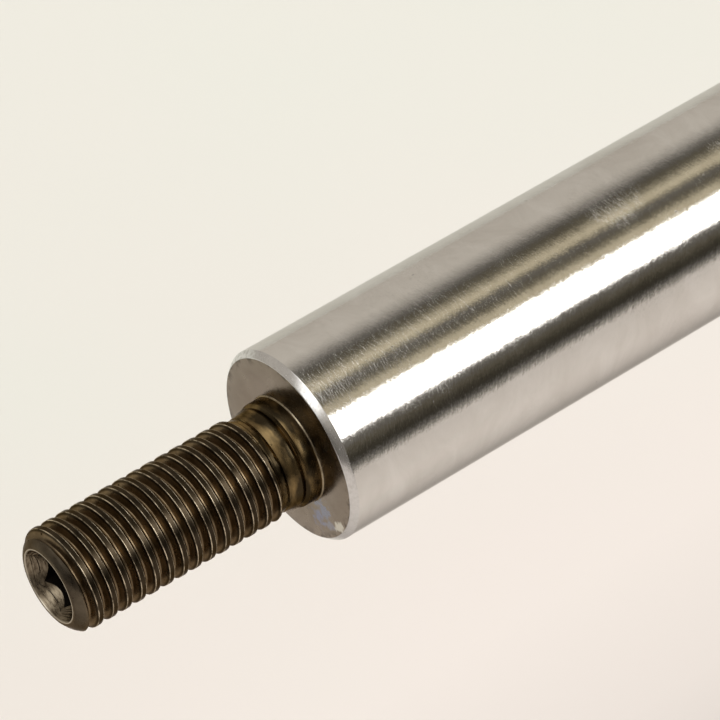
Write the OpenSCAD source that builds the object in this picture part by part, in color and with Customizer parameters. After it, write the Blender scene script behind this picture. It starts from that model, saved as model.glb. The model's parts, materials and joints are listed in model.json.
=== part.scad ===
// Ball screw assembly with a thrust rod.
// A ball screw turns in a flanged support unit. Its nut can't turn, so it drives a
// hollow rod in and out, and the rod ends in a threaded stud.
// The screw axis is X. The origin is the centre of the support flange's seating face.
// The drive end points along +X and the rod's stud along -X.

/* [Thrust rod] */
// Outer diameter of the ground rod
rod_d = 22; // [20:0.5:24]
// Diameter of the rod's blind bore, which takes the screw
rod_bore_d = 17; // [16.6:0.1:17.4]
// Length of ground rod in front of the adapter
rod_visible_l = 119; // [117:1:150]
// Solid metal between the rod's front face and its bore
rod_nose_l = 27; // [24:1:29]
// Chamfer at the rod's front edge
rod_chamfer = 0.6; // [0.3:0.1:1]

/* [Rod end stud] */
// Diameter over the crests of the stud's thread
stud_d = 11.7; // [9.8:0.1:12]
// Length of stud that stands out of the rod
stud_l = 30; // [20:1:40]
// Width across the flats of the stud's socket
stud_socket_af = 6; // [5:0.5:6]
// Depth of the stud's socket
stud_socket_l = 8; // [6:0.5:9]

/* [Ball screw] */
// Diameter over the screw's lands
screw_d = 15.5; // [15:0.1:15.6]
// Travel of the nut for one turn
lead = 10; // [9:0.5:11]
// Diameter of the balls in the nut
ball_d = 3.175; // [3:0.025:3.2]
// Travel of the rod each way from rest
half_stroke = 50; // [40:1:50]

/* [Ball nut] */
// Diameter of the nut's body
nut_d = 34; // [33:0.5:36]
// Length of the nut's body behind its flange
nut_body_l = 40; // [40:1:44]
// Diameter of the nut's flange and of the adapter's
nut_flange_d = 52; // [52:0.5:54]
// Thickness of each of those flanges
nut_flange_t = 10; // [10:0.5:12]

/* [Support unit] */
// Diameter of the spigot that fits the machine's bore
spigot_d = 36; // [36:0.5:39]
// Length of that spigot
spigot_l = 17; // [17:0.5:19]
// Diameter of the support flange
flange_d = 54; // [53:0.5:56]
// Distance across the support flange's two flats
flange_flats = 44; // [43:0.5:48]
// Bolt circle of the support flange
flange_pcd = 44; // [43.5:0.1:44.5]
// Diameter of the drive journal
drive_d = 10; // [8:0.5:11]
// Length of the drive journal
drive_l = 22; // [16:1:30]

/* [Hidden] */
$fn = 96;

// Fits: the gap on radius between a part and the hole that holds it
fit = 0.03;
eps = 0.01;

// Support unit, from the seating face at x = 0
flange_t = 10;
flange_hole_r = 2.25;
flange_counterbore_r = 4;
flange_counterbore_l = 4.4;
bearing_bore_r = 6;
bearing_r = 14;
bearing_b = 8;
bearing_x = -6;
bearing_end = bearing_x + 2 * bearing_b;
bearing_ball_r = 2.38;
bearing_ball_n = 11;
bearing_pitch_r = 10;
inner_ring_r = 8.5;
outer_ring_r = 11.5;
race_r = bearing_ball_r + 0.08;
collar_r = 8.5;
seal_r = 11;
seal_t = 4;
lip_r = 9.6;
cover_t = 3;
cover_r = flange_flats / 2;
cover_x = -flange_t - cover_t;
cover_screw_r = 18;
lock_nut_x = 19;
lock_nut_w = 9;
lock_nut_r = 11;
journal_r = 6;
journal_end = 29.5;
drive_end = journal_end + drive_l;

// Screw: the thread runs from the front journal to the shoulder at the support unit
shoulder_x = -17;
retract_gap = 4;
nut_x1 = shoulder_x - retract_gap - half_stroke;
nut_x0 = nut_x1 - nut_body_l;
flange_x0 = nut_x0 - nut_flange_t;
adapter_x0 = flange_x0 - nut_flange_t;
hub_l = 20;
hub_x0 = adapter_x0 - hub_l;
hub_r = 16;
thread_x0 = flange_x0 - half_stroke - 6;
guide_journal_r = 5;
guide_journal_l = 13;
screw_x0 = thread_x0 - guide_journal_l;

// Ball groove and the balls' path
pitch_r = screw_d / 2 + 0.3;
ball_r = ball_d / 2;
groove_r = ball_r + 0.21;
lead_angle = atan(lead / (2 * PI * pitch_r));
turn_steps = 24;
groove_steps = 6;
circuit_turns = 2.5;
circuit_mid = nut_x0 + nut_body_l / 2 - 1;
circuit_x0 = circuit_mid - circuit_turns * lead / 2;
nut_flat_z = 13;
tube_r = 2.4;
tube_bore_r = 1.85;
tube_z = nut_flat_z + tube_r + 0.3;
tube_bend_r = 5;
tube_start = 5.9;
tube_slot_z = tube_z - tube_bend_r;
tube_slot_half_w = tube_r + 0.6;
nut_bore_r = 8;

// Rod
rod_x0 = hub_x0 - rod_visible_l;
rod_bore_x0 = rod_x0 + rod_nose_l;
rod_spigot_r = 10;
rod_spigot_end = hub_x0 + 23.8;
stud_hole_r = stud_d / 2 + 0.05;
stud_hole_l = 19;
stud_tip_x = rod_x0 - stud_l;
stud_mouth_r = 4.09;
stud_rim_r = 4.43;
stud_collar_r = stud_d / 2 + 0.15;
stud_phase = -12.8;

// Flange screws of the nut and adapter, and the pilot that centres the two
nut_pcd_r = 21;
nut_screw_n = 6;
nut_pilot_r = 14;
nut_pilot_l = 2;
adapter_bore_r = 9;
adapter_bore_end = hub_x0 + 24;

// Fasteners: thread, clearance hole and head
m5_r = 2.5;
m5_hole_r = 2.65;
m5_head_r = 4.2;
m5_head_l = 5;
m5_counterbore_r = 4.5;
m5_counterbore_l = 5.4;
m5_screw_l = 12.5;
m5_tapped_l = 8.5;
m3_r = 1.5;
m3_hole_r = 1.7;
m3_head_r = 2.75;
m3_head_l = 3;
m3_screw_l = 10;
m4_set_r = 2;
set_x = hub_x0 + 9;
nipple_r = 3;
nipple_bore_r = 0.8;

function unit(v) = v / norm(v);
function on_circle(r, a) = [0, r * cos(a), r * sin(a)];

// Solids of revolution about X, from a list of [x, radius] points
module turned(profile) {
    rotate([0, 90, 0])
        rotate_extrude()
            polygon([for (p = profile) [p[1], p[0]]]);
}

// A round bar along +X from x0 to x1
module bar(x0, x1, r) {
    translate([x0, 0, 0])
        rotate([0, 90, 0])
            cylinder(r = r, h = x1 - x0);
}

// A tube along X with chamfered outer edges
module ring(x0, x1, ri, ro, c = 0.3) {
    turned([[x0, ri], [x0, ro - c], [x0 + c, ro], [x1 - c, ro], [x1, ro - c], [x1, ri]]);
}

// A hexagonal hole or bar along X, af across its flats
module hex_bar(x0, x1, af) {
    translate([x0, 0, 0])
        rotate([0, 90, 0])
            cylinder(d = af / cos(30), h = x1 - x0, $fn = 6);
}

// Copies children n times round X, the first at angle a0 from +Y
module around(n, a0 = 0) {
    for (i = [0 : n - 1])
        rotate([a0 + i * 360 / n, 0, 0])
            children();
}

// A socket head cap screw along +X, with its head's seat at x = 0
module cap_screw(r, l, head_r, head_l, af) {
    c = 0.3;
    difference() {
        turned([[-head_l, 0], [-head_l, head_r - c], [-head_l + c, head_r], [0, head_r],
            [0, r], [l - c, r], [l, r - c], [l, 0]]);
        hex_bar(-head_l - 1, -head_l * 0.45, af);
    }
}

// A set screw along +X from x = 0, with its socket at the far end
module set_screw(r, l, af) {
    c = 0.2;
    difference() {
        turned([[0, 0], [0, r - 2 * c], [2 * c, r], [l - c, r], [l, r - c], [l, 0]]);
        hex_bar(l * 0.45, l + 1, af);
    }
}

// Turns a part that lies along +X so that it points outwards along +Y
module outwards() {
    rotate([0, 0, 90])
        children();
}

// ---- Ball path ----

function helix_point(a) = [circuit_x0 + lead * (a - 180) / 360, 0, 0] + on_circle(pitch_r, a);

// Points of an arc of radius r that rounds the corner b between a and c
function fillet(a, b, c, r, n) =
    let (u = unit(a - b), v = unit(c - b), half = acos(u * v) / 2,
        mid = b + unit(u + v) * r / sin(half), p = b + u * r / tan(half) - mid,
        q = unit(b + v * r / tan(half) - mid - p * cos(180 - 2 * half)) * r)
    [for (i = [0 : n]) let (t = (180 - 2 * half) * i / n) mid + p * cos(t) + q * sin(t)];

circuit_a1 = 180 + 360 * circuit_turns;
leg_s = helix_point(180);
leg_e = helix_point(circuit_a1);
leg_rise = tube_z / cos(lead_angle);
corner_s = leg_s + leg_rise * [-sin(lead_angle), 0, cos(lead_angle)];
corner_e = leg_e + leg_rise * [sin(lead_angle), 0, cos(lead_angle)];

// The return path, from the loaded turns' end up, across the nut's flat and down again
return_path = concat(
    [leg_e],
    fillet(leg_e, corner_e, corner_s, tube_bend_r, 8),
    fillet(corner_e, corner_s, leg_s, tube_bend_r, 8),
    [leg_s]);
loaded_path = [for (i = [0 : 90]) helix_point(180 + (circuit_a1 - 180) * i / 90)];
circuit = concat(loaded_path, [for (i = [1 : len(return_path) - 1]) return_path[i]]);

// Running length at each point of a path
function lengths(path, i = 0, sum = 0) =
    i == len(path) - 1 ? [sum]
    : concat([sum], lengths(path, i + 1, sum + norm(path[i + 1] - path[i])));
circuit_s = lengths(circuit);
circuit_l = circuit_s[len(circuit_s) - 1];
ball_n = floor(circuit_l / (ball_d + 0.04));

function along(path, s, t) =
    [for (k = [0 : 2]) lookup(t, [for (i = [0 : len(path) - 1]) [s[i], path[i][k]]])];

// ---- Sweeps ----

function tangents(path) = [for (i = [0 : len(path) - 1])
    unit(path[min(i + 1, len(path) - 1)] - path[max(i - 1, 0)])];
function carried(ts, n, i = 0) =
    i == len(ts) ? []
    : let (m = unit(n - ts[i] * (ts[i] * n))) concat([m], carried(ts, m, i + 1));

// Rings of points round a path, each with the given number of sides
function rings(path, r, sides) =
    let (ts = tangents(path), ns = carried(ts, [0.3, 1, 0.2]))
    [for (i = [0 : len(path) - 1], k = [0 : sides - 1])
        let (a = 360 * k / sides)
        path[i] + r * (ns[i] * cos(a) + cross(ts[i], ns[i]) * sin(a))];

function skin(n, sides, base, flip) = [for (i = [0 : n - 2], k = [0 : sides - 1])
    let (a = base + i * sides + k, b = base + i * sides + (k + 1) % sides,
        q = [a, b, b + sides, a + sides])
    flip ? [q[3], q[2], q[1], q[0]] : q];

// A solid round bar along a path
module swept_bar(path, r, sides) {
    n = len(path);
    polyhedron(points = rings(path, r, sides),
        faces = concat(skin(n, sides, 0, true),
            [[for (k = [0 : sides - 1]) k],
            [for (k = [0 : sides - 1]) n * sides - 1 - k]]));
}

// A tube along a path, open at both ends
module swept_tube(path, r, ri, sides) {
    n = len(path);
    m = n * sides;
    last = m - sides;
    polyhedron(points = concat(rings(path, r, sides), rings(path, ri, sides)),
        faces = concat(skin(n, sides, 0, true), skin(n, sides, m, false),
            [for (k = [0 : sides - 1]) let (j = (k + 1) % sides) [k, j, m + j, m + k]],
            [for (k = [0 : sides - 1]) let (j = (k + 1) % sides)
                [last + j, last + k, m + last + k, m + last + j]]));
}

// ---- Screw thread ----

groove_half_w = sqrt(groove_r ^ 2 - (pitch_r - screw_d / 2) ^ 2);
groove_half_a = acos((pitch_r - screw_d / 2) / groove_r);
// One lead of the thread as [x, radius]: the round groove, centred on x = 0, and then the land
thread_profile = concat(
    [for (i = [0 : groove_steps])
        let (a = -groove_half_a + 2 * groove_half_a * i / groove_steps)
        [groove_r * sin(a) / cos(lead_angle), pitch_r - groove_r * cos(a)]],
    [[lead - groove_half_w / cos(lead_angle), screw_d / 2]]);

// The threaded bar: one helical strip, closed at each end by a fan to the axis
module threaded_bar(x0, x1) {
    first = floor((x0 - circuit_x0) / lead) - 2;
    turns = ceil((x1 - x0) / lead) + 3;
    n = turns * turn_steps;
    m = len(thread_profile) - 1;
    points = concat(
        [for (i = [0 : n], j = [0 : m])
            let (p = thread_profile[j])
            [circuit_x0 + lead * (first + i / turn_steps) + p[0], 0, 0]
                + on_circle(p[1], 180 + 360 * i / turn_steps)],
        [for (e = [0, turns + 1]) [circuit_x0 + lead * (first + e), 0, 0]]);
    apex = len(points) - 2;
    function at(i, j) = i * (m + 1) + j;
    // The strip's last column is the same line as its first column a turn later
    function key(i, j) = j == m && i + turn_steps <= n ? at(i + turn_steps, 0) : at(i, j);
    rim = [for (i = [0 : turn_steps]) at(i, 0)];
    top = [for (i = [n - turn_steps : n]) key(i, m)];
    intersection() {
        polyhedron(points = points, faces = concat(
            [for (i = [0 : n - 1], j = [0 : m - 1])
                [key(i, j), key(i, j + 1), key(i + 1, j + 1), key(i + 1, j)]],
            [for (i = [0 : turn_steps - 1]) [rim[i + 1], apex, rim[i]]],
            [for (j = [0 : m - 1]) [key(0, j), apex, key(0, j + 1)]],
            [for (i = [0 : turn_steps - 1]) [top[i], apex + 1, top[i + 1]]],
            [for (j = [0 : m - 1]) [key(n, j + 1), apex + 1, key(n, j)]]));
        bar(x0, x1, screw_d);
    }
}

// ---- Rod ----

module thrust_rod() color("silver") {
    c = rod_chamfer;
    r = rod_d / 2;
    turned([[rod_x0, stud_hole_r + 0.1], [rod_x0, r - c], [rod_x0 + c, r], [hub_x0, r],
        [hub_x0, rod_spigot_r], [rod_spigot_end - 0.5, rod_spigot_r],
        [rod_spigot_end, rod_spigot_r - 0.5], [rod_spigot_end, rod_bore_d / 2],
        [rod_bore_x0, rod_bore_d / 2], [rod_bore_x0 - 2, 0], [rod_x0 + stud_hole_l, 0],
        [rod_x0 + stud_hole_l, stud_hole_r], [rod_x0 + 0.1, stud_hole_r]]);
}

module rod_end_stud() color("#5a4a38") {
    r = stud_d / 2;
    x = rod_x0;
    inner = stud_hole_l - 1.5;
    difference() {
        turned([[stud_tip_x, 0], [stud_tip_x, stud_rim_r], [stud_tip_x + 1.4, r], [x - 5.1, r],
            [x - 4.8, r - 0.35], [x - 3.9, r - 0.45], [x - 2.4, r - 0.11], [x - 2.2, r - 0.11],
            [x - 1.9, r - 0.25], [x - 1.65, stud_collar_r], [x - 0.15, stud_collar_r], [x, r],
            [x + inner - 1, r], [x + inner, r - 1], [x + inner, 0]]);
        rotate([stud_phase, 0, 0])
            hex_bar(stud_tip_x - 1, stud_tip_x + stud_socket_l, stud_socket_af);
        turned([[stud_tip_x - 1, 0], [stud_tip_x - 1, stud_mouth_r + tan(30)],
            [stud_tip_x + stud_mouth_r / tan(30), 0]]);
        turned([[stud_tip_x + stud_socket_l - 1, 0],
            [stud_tip_x + stud_socket_l - 1, stud_socket_af / 2],
            [stud_tip_x + stud_socket_l, stud_socket_af / 2],
            [stud_tip_x + stud_socket_l + 1.7, 0]]);
    }
}

module rod_adapter() color("dimgray") {
    r = nut_flange_d / 2;
    difference() {
        turned([[hub_x0, rod_spigot_r + fit], [hub_x0, hub_r - 0.8], [hub_x0 + 0.8, hub_r],
            [adapter_x0 - 0.8, hub_r], [adapter_x0, hub_r + 0.5], [adapter_x0, r - 0.6],
            [adapter_x0 + 0.6, r], [flange_x0 - 0.4, r], [flange_x0, r - 0.4],
            [flange_x0, nut_pilot_r + fit], [flange_x0 - nut_pilot_l - 0.1, nut_pilot_r + fit],
            [flange_x0 - nut_pilot_l - 0.1, adapter_bore_r], [adapter_bore_end, adapter_bore_r],
            [adapter_bore_end, rod_spigot_r + fit]]);
        around(nut_screw_n)
            translate([adapter_x0, nut_pcd_r, 0]) {
                bar(-1, nut_flange_t + 1, m5_hole_r);
                bar(-1, m5_counterbore_l, m5_counterbore_r);
            }
        around(2, 60)
            translate([set_x, rod_spigot_r - 1, 0])
                outwards() bar(0, hub_r, m5_r + fit);
    }
}

module adapter_screws() color("#2c2c2e") {
    around(nut_screw_n)
        translate([adapter_x0 + m5_counterbore_l, nut_pcd_r, 0])
            cap_screw(m5_r, m5_screw_l, m5_head_r, m5_head_l, 4);
}

module adapter_set_screws() color("#2c2c2e") {
    around(2, 60)
        translate([set_x, rod_spigot_r + 0.05, 0])
            outwards() set_screw(m5_r, hub_r - rod_spigot_r - 0.4, 2.5);
}

// ---- Nut ----

module ball_nut() color("lightslategray") {
    r = nut_d / 2;
    rf = nut_flange_d / 2;
    leg_path = concat([for (t = [6, 3]) leg_e + t * unit(corner_e - leg_e)],
        [for (i = [0 : 60]) helix_point(circuit_a1 - (circuit_a1 - 180) * i / 60)],
        [for (t = [3, 6]) leg_s + t * unit(corner_s - leg_s)]);
    difference() {
        turned([[flange_x0 - nut_pilot_l, seal_r + fit], [flange_x0 - nut_pilot_l, nut_pilot_r - 0.3],
            [flange_x0 - nut_pilot_l + 0.3, nut_pilot_r], [flange_x0, nut_pilot_r],
            [flange_x0, rf - 0.4], [flange_x0 + 0.4, rf], [nut_x0 - 0.6, rf],
            [nut_x0, rf - 0.6], [nut_x0, r + 0.4], [nut_x0 + 0.4, r], [nut_x1 - 1, r],
            [nut_x1, r - 1], [nut_x1, seal_r + fit], [nut_x1 - seal_t, seal_r + fit],
            [nut_x1 - seal_t, nut_bore_r], [flange_x0 + 2.2, nut_bore_r],
            [flange_x0 + 2.2, seal_r + fit]]);
        translate([nut_x0, -r, nut_flat_z])
            cube([nut_body_l + 1, 2 * r, r]);
        swept_bar(leg_path, tube_bore_r, 10);
        for (leg = [[leg_s, corner_s], [leg_e, corner_e]])
            translate(leg[0])
                rotate([0, leg[1][0] > leg[0][0] ? lead_angle : -lead_angle, 0])
                    translate([0, 0, tube_start - 0.1])
                        cylinder(r = tube_r + fit, h = 20);
        translate([circuit_mid, 0, tube_slot_z])
            rotate([0, 0, clamp_turn])
                translate([-tube_slot_l / 2, -tube_slot_half_w, 0])
                    cube([tube_slot_l, 2 * tube_slot_half_w, r]);
        around(nut_screw_n)
            translate([flange_x0, nut_pcd_r, 0]) bar(-1, m5_tapped_l, m5_r + fit);
        around(2)
            translate([nut_x1 - seal_t / 2, seal_r - 1, 0])
                outwards() bar(0, 10, m3_r + fit);
        clamp_places()
            translate([0, 0, -6]) cylinder(r = m3_r + fit, h = 20);
        nipple_place()
            bar(-7, 2, nipple_r + fit);
    }
}

module nut_balls() color("gainsboro") {
    for (i = [0 : ball_n - 1])
        translate(along(circuit, circuit_s, circuit_l * (i + 0.5) / ball_n))
            sphere(r = ball_r);
}

module return_tube() color("silver") {
    n = len(return_path) - 1;
    start = leg_e + tube_start * unit(corner_e - leg_e);
    end = leg_s + tube_start * unit(corner_s - leg_s);
    swept_tube(concat([start], [for (i = [1 : n - 1]) return_path[i]], [end]),
        tube_r, tube_bore_r, 12);
}

clamp_w = 8;
clamp_t = 1.2;
clamp_reach = 6.4;
clamp_turn = atan2(corner_s[1] - corner_e[1], corner_s[0] - corner_e[0]);
tube_slot_l = norm(corner_e - corner_s);

// The two screw places of the tube clamp, on the nut's flat
module clamp_places() {
    translate([circuit_mid, 0, nut_flat_z])
        rotate([0, 0, clamp_turn])
            for (s = [-1, 1])
                translate([0, s * clamp_reach, 0])
                    children();
}

module tube_clamp() color("lightgray") {
    ro = tube_r + 0.1 + clamp_t;
    reach = clamp_reach + 3.4;
    difference() {
        translate([circuit_mid, 0, nut_flat_z])
            rotate([0, 0, clamp_turn])
                rotate([90, 0, 90])
                    translate([0, 0, -clamp_w / 2])
                        linear_extrude(clamp_w)
                            difference() {
                                union() {
                                    translate([0, tube_z - nut_flat_z]) circle(r = ro);
                                    translate([-ro, 0]) square([2 * ro, tube_z - nut_flat_z]);
                                    translate([-reach, 0]) square([2 * reach, clamp_t]);
                                }
                                translate([0, tube_z - nut_flat_z]) circle(r = tube_r + 0.1);
                                translate([-tube_r - 0.1, -1])
                                    square([2 * tube_r + 0.2, tube_z - nut_flat_z + 1]);
                            }
        clamp_places()
            translate([0, 0, -1]) cylinder(r = 1.6, h = 4);
    }
}

module tube_clamp_screws() color("#2c2c2e") {
    clamp_places()
        translate([0, 0, clamp_t])
            rotate([0, 90, 0]) cap_screw(m3_r, 5.5, 2.6, 2, 2.5);
}

module wiper(x0, x1) {
    difference() {
        ring(x0, x1, screw_d / 2 + 0.2, seal_r, 0.4);
        translate([x0 - 1, screw_d / 2 - 2, -0.4]) cube([x1 - x0 + 2, 3.6, 0.8]);
    }
}

module front_wiper() color("ivory")
    wiper(flange_x0 - 1.8, flange_x0 + 2.1);

module rear_wiper() color("ivory")
    wiper(nut_x1 - seal_t + 0.1, nut_x1 + 0.5);

module wiper_set_screws() color("#2c2c2e") {
    around(2)
        translate([nut_x1 - seal_t / 2, seal_r + 0.05, 0])
            outwards() set_screw(m3_r, 4.5, 1.5);
}

// Where the grease nipple enters the nut's flange
module nipple_place() {
    rotate([150, 0, 0])
        translate([(flange_x0 + nut_x0) / 2, nut_flange_d / 2, 0])
            outwards() children();
}

module grease_nipple() color("goldenrod") {
    nipple_place() {
        turned([[-6, nipple_bore_r], [-6, nipple_r - 0.4], [-5.6, nipple_r], [0, nipple_r],
            [0, nipple_bore_r]]);
        difference() {
            hex_bar(0, 3, 7);
            bar(-1, 4, nipple_bore_r);
        }
        turned([[3, nipple_bore_r], [3, nipple_r], [4.2, 2.1], [5.4, 2.1], [6.2, 3.1], [7.4, 3.1],
            [8.6, 1.6], [8.6, nipple_bore_r]]);
    }
}

// ---- Screw ----

module screw_shaft() color("silver") {
    difference() {
        union() {
            threaded_bar(thread_x0, shoulder_x);
            turned([[screw_x0, 0], [screw_x0, guide_journal_r - 0.5],
                [screw_x0 + 0.5, guide_journal_r], [screw_x0 + 1.4, guide_journal_r],
                [screw_x0 + 1.4, guide_journal_r - 0.3], [screw_x0 + 2.5, guide_journal_r - 0.3],
                [screw_x0 + 2.5, guide_journal_r], [thread_x0, guide_journal_r], [thread_x0, 0]]);
            turned([[shoulder_x, 0], [shoulder_x, journal_r], [journal_end - 0.8, journal_r],
                [journal_end, drive_d / 2 + 0.2], [journal_end, drive_d / 2],
                [drive_end - 0.6, drive_d / 2], [drive_end, drive_d / 2 - 0.6], [drive_end, 0]]);
        }
        turned([[drive_end - 3, 0], [drive_end + 1, 2.4], [drive_end + 1, 0]]);
    }
}

module guide_bush() color("ivory") {
    difference() {
        ring(screw_x0 + 2.7, thread_x0 - 0.3, guide_journal_r + fit, rod_bore_d / 2 - 0.1, 0.5);
        around(3, 90)
            translate([screw_x0, rod_bore_d / 2 - 0.9, -1])
                cube([guide_journal_l + 2, 2, 2]);
    }
}

module guide_bush_circlip() color("#3a3a3c") {
    x0 = screw_x0 + 1.5;
    difference() {
        union() {
            bar(x0, x0 + 1, 6.4);
            for (s = [-1, 1])
                translate([0, s * 1.9, 6.1]) bar(x0, x0 + 1, 1.4);
        }
        bar(x0 - 1, x0 + 2, guide_journal_r - 0.3 + fit);
        translate([x0 - 1, -0.8, 0]) cube([3, 1.6, 12]);
        for (s = [-1, 1])
            translate([0, s * 1.9, 6.3]) bar(x0 - 1, x0 + 2, 0.5);
    }
}

module front_collar() color("gray")
    ring(shoulder_x + eps, bearing_x, journal_r + fit, collar_r);

module rear_collar() color("gray")
    ring(bearing_end, lock_nut_x, journal_r + fit, collar_r);

module lock_nut() color("#3c3c40") {
    difference() {
        ring(lock_nut_x, lock_nut_x + lock_nut_w, journal_r + fit, lock_nut_r, 0.6);
        around(4)
            translate([lock_nut_x - 1, lock_nut_r - 1.8, -2])
                cube([lock_nut_w + 2, 4, 4]);
        around(2, 45)
            translate([lock_nut_x + lock_nut_w / 2, journal_r - 1, 0])
                outwards() bar(0, 9, m4_set_r + fit);
    }
}

module lock_nut_set_screws() color("#2c2c2e") {
    around(2, 45)
        translate([lock_nut_x + lock_nut_w / 2, journal_r + 1.1, 0])
            outwards() set_screw(m4_set_r, 3.4, 2);
}

module lock_nut_pads() color("goldenrod") {
    around(2, 45)
        translate([lock_nut_x + lock_nut_w / 2, journal_r + fit, 0])
            outwards() bar(0, 1, m4_set_r);
}

// ---- Support bearings ----

module inner_ring(x) {
    difference() {
        ring(x, x + bearing_b, bearing_bore_r + fit, inner_ring_r);
        race(x);
    }
}

// side is -1 where the ring's low shoulder is at its front, and 1 where it is at its rear
module outer_ring(x, side) {
    mid = x + bearing_b / 2;
    difference() {
        ring(x + eps, x + bearing_b - eps, outer_ring_r, bearing_r - 0.01, 0.4);
        race(x);
        bar(side < 0 ? x - 1 : mid, side < 0 ? mid : x + bearing_b + 1, outer_ring_r + 0.5);
    }
}

// The round groove that the bearing's balls run in
module race(x) {
    translate([x + bearing_b / 2, 0, 0])
        rotate([0, 90, 0])
            rotate_extrude()
                translate([bearing_pitch_r, 0]) circle(r = race_r);
}

module cage(x) {
    mid = x + bearing_b / 2;
    difference() {
        turned([[mid - 3.2, 9.1], [mid - 3.2, 10.9], [mid + 3.2, 10.9], [mid + 3.2, 9.1]]);
        around(bearing_ball_n)
            translate([mid, 8, 0])
                outwards() bar(0, 5, bearing_ball_r + 0.1);
    }
}

module bearing_balls(x) {
    around(bearing_ball_n)
        translate([x + bearing_b / 2, bearing_pitch_r, 0]) sphere(r = bearing_ball_r);
}

module front_inner_ring() color("lightgray") inner_ring(bearing_x);
module rear_inner_ring() color("lightgray") inner_ring(bearing_x + bearing_b);
module front_outer_ring() color("lightgray") outer_ring(bearing_x, -1);
module rear_outer_ring() color("lightgray") outer_ring(bearing_x + bearing_b, 1);
module front_cage() color("goldenrod") cage(bearing_x);
module rear_cage() color("goldenrod") cage(bearing_x + bearing_b);
module front_bearing_balls() color("gainsboro") bearing_balls(bearing_x);
module rear_bearing_balls() color("gainsboro") bearing_balls(bearing_x + bearing_b);

// ---- Support unit ----

// The four bolt places of the support flange
module flange_places() {
    around(4, 45)
        translate([0, flange_pcd / 2, 0])
            children();
}

module bearing_housing() color("#26262a") {
    r = flange_d / 2;
    rs = spigot_d / 2;
    difference() {
        turned([[-flange_t, bearing_r], [-flange_t, r - 0.8], [-flange_t + 0.8, r], [-0.4, r],
            [0, r - 0.4], [0, rs], [spigot_l - 1, rs], [spigot_l, rs - 1], [spigot_l, seal_r],
            [12.5, seal_r], [12.5, lip_r], [bearing_end, lip_r], [bearing_end, bearing_r]]);
        for (s = [0, 180])
            rotate([s, 0, 0])
                translate([-flange_t - 1, -r, flange_flats / 2]) cube([flange_t + 2, 2 * r, r]);
        flange_places() {
            bar(-flange_t - 1, 1, flange_hole_r);
            bar(-flange_t - 1, -flange_t + flange_counterbore_l, flange_counterbore_r);
        }
        around(4)
            translate([0, cover_screw_r, 0]) bar(-flange_t - 1, -1.5, m3_r + fit);
    }
}

module bearing_cover() color("#26262a") {
    difference() {
        turned([[cover_x, seal_r], [cover_x, cover_r - 0.5], [cover_x + 0.5, cover_r],
            [-flange_t, cover_r], [-flange_t, bearing_r - fit], [bearing_x, bearing_r - fit],
            [bearing_x, lip_r + 1], [bearing_x - 2.5, lip_r], [bearing_x - 2.6, seal_r]]);
        flange_places()
            bar(cover_x - 1, -flange_t + 1, 5.2);
        around(4)
            translate([0, cover_screw_r, 0]) bar(cover_x - 1, -flange_t + 1, m3_hole_r);
    }
}

module cover_screws() color("#2c2c2e") {
    around(4)
        translate([cover_x, cover_screw_r, 0])
            cap_screw(m3_r, m3_screw_l, m3_head_r, m3_head_l, 2.5);
}

module seal(x0) {
    turned([[x0, collar_r + 0.5], [x0, seal_r - 0.2], [x0 + 0.2, seal_r - 0.02],
        [x0 + seal_t - 0.2, seal_r - 0.02], [x0 + seal_t, seal_r - 0.2],
        [x0 + seal_t, collar_r + 0.9], [x0 + 2.2, collar_r + 0.1], [x0 + 1.8, collar_r + 0.1],
        [x0 + 1.2, collar_r + 0.5]]);
}

module front_seal() color("#1c1c1c") seal(cover_x + 0.3);
module rear_seal() color("#1c1c1c") seal(spigot_l - seal_t - 0.3);

thrust_rod();
rod_end_stud();
rod_adapter();
adapter_screws();
adapter_set_screws();
ball_nut();
nut_balls();
return_tube();
tube_clamp();
tube_clamp_screws();
front_wiper();
rear_wiper();
wiper_set_screws();
grease_nipple();
screw_shaft();
guide_bush();
guide_bush_circlip();
front_collar();
rear_collar();
front_inner_ring();
rear_inner_ring();
lock_nut();
lock_nut_set_screws();
lock_nut_pads();
front_cage();
rear_cage();
front_bearing_balls();
rear_bearing_balls();
bearing_housing();
bearing_cover();
cover_screws();
front_outer_ring();
rear_outer_ring();
front_seal();
rear_seal();
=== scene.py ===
import json
import math
from functools import cache

import bmesh
import bpy
import numpy as np
from mathutils import Matrix, Vector


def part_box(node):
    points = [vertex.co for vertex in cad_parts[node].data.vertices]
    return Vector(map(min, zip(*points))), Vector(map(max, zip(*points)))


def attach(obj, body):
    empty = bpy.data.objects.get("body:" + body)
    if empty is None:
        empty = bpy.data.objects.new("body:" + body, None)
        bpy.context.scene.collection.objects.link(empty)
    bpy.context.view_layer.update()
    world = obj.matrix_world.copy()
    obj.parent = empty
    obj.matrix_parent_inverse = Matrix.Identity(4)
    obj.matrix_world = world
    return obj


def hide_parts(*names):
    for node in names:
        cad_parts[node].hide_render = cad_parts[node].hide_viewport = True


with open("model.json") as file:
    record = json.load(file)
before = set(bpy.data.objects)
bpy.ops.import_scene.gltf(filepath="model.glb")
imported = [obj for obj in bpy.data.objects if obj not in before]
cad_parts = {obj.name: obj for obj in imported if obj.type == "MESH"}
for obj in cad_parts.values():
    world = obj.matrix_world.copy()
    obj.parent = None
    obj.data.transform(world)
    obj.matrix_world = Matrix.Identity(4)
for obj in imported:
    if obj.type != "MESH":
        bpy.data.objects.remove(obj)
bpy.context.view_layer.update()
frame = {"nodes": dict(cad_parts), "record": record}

MM = 0.001


# ---- Sizes read from the frame ----

def corners(node):
    """The low and high corner of a CAD node's box."""
    lo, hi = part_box(node)
    return Vector(lo), Vector(hi)


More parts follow.
